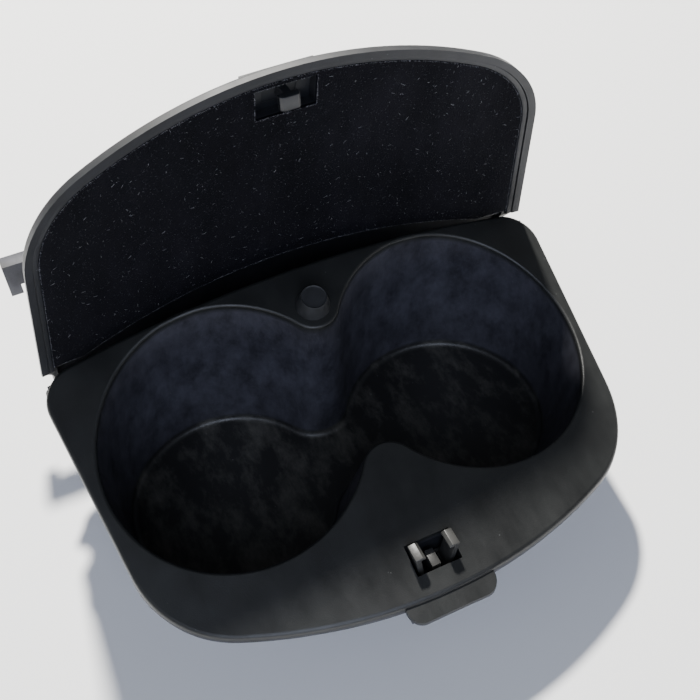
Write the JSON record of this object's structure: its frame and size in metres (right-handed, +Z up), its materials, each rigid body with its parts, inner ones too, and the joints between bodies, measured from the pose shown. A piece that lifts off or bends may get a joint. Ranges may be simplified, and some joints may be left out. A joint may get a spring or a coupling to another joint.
{
  "type": "console cup holder",
  "caption": "Twin drop-in cup holder for a vehicle console: two joined wells under a crowned sloping plate, with a sprung flock-lined lid and a push latch.",
  "frame": {"origin": "middle of the flat underside of the wells, halfway between the two rim centres", "axes": "+X along the pair of wells, +Y towards the lid hinge, +Z up"},
  "size_m": [0.171, 0.1572, 0.1438],
  "materials": {
    "housing_plastic": "satin black, fine moulded grain",
    "lid_plastic": "satin blue-black, fine moulded grain",
    "flock": "short-pile black flock",
    "black_rubber": "matte moulded rubber",
    "latch_plastic": "satin acetal",
    "jaw_plastic": "worn satin acetal",
    "zinc_steel": "zinc plated, dull",
    "spring_steel": "drawn spring wire"
  },
  "bodies": {
    "root": {"housing": "housing_plastic", "rear_bracket": "housing_plastic", "bracket_screws": "zinc_steel", "bump_stop": "black_rubber", "hinge_pin_right": "zinc_steel", "hinge_pin_left": "zinc_steel", "pin_retainers": "spring_steel", "hinge_spring_right": "spring_steel", "hinge_spring_left": "spring_steel", "latch_body": "latch_plastic", "latch_screws": "zinc_steel", "latch_spring": "spring_steel", "latch_cam_pin": "spring_steel"},
    "latch_slider": {"latch_slider": "jaw_plastic", "jaw_pivot_pins": "zinc_steel"},
    "jaw_right": {"latch_jaw_right": "jaw_plastic"},
    "jaw_left": {"latch_jaw_left": "jaw_plastic"},
    "lid": {"lid_cover": "lid_plastic", "lid_inner_ring": "lid_plastic", "lid_liner": "flock", "lid_striker": "latch_plastic"}
  },
  "joints": [
    {"name": "lid_hinge", "type": "hinge", "parent": "root", "child": "lid", "pos_m": [0, 0.035, 0.04463], "axis": [1, 0, 0], "range_deg": [0, 94.7], "stiffness_Nm_per_rad": 0.02, "springref_deg": -34.38, "deforming": ["hinge_spring_right", "hinge_spring_left"]},
    {"name": "latch_slide", "type": "slide", "parent": "root", "child": "latch_slider", "axis": [0, 0, 1], "range_m": [-0.003, 0], "stiffness_N_per_m": 100, "springref_m": 0.003, "deforming": ["latch_spring"]},
    {"name": "jaw_right_pivot", "type": "hinge", "parent": "latch_slider", "child": "jaw_right", "pos_m": [0.0041, -0.0538, 0.02927], "axis": [0, 1, 0], "range_deg": [-9.1, 0]},
    {"name": "jaw_left_pivot", "type": "hinge", "parent": "latch_slider", "child": "jaw_left", "pos_m": [-0.0041, -0.0538, 0.02927], "axis": [0, -1, 0], "range_deg": [-9.1, 0]}
  ],
  "couplings": [
    {"joint": "jaw_right_pivot", "follows": "latch_slide", "rad_per_m": 52.36},
    {"joint": "jaw_left_pivot", "follows": "latch_slide", "rad_per_m": 52.36}
  ]
}
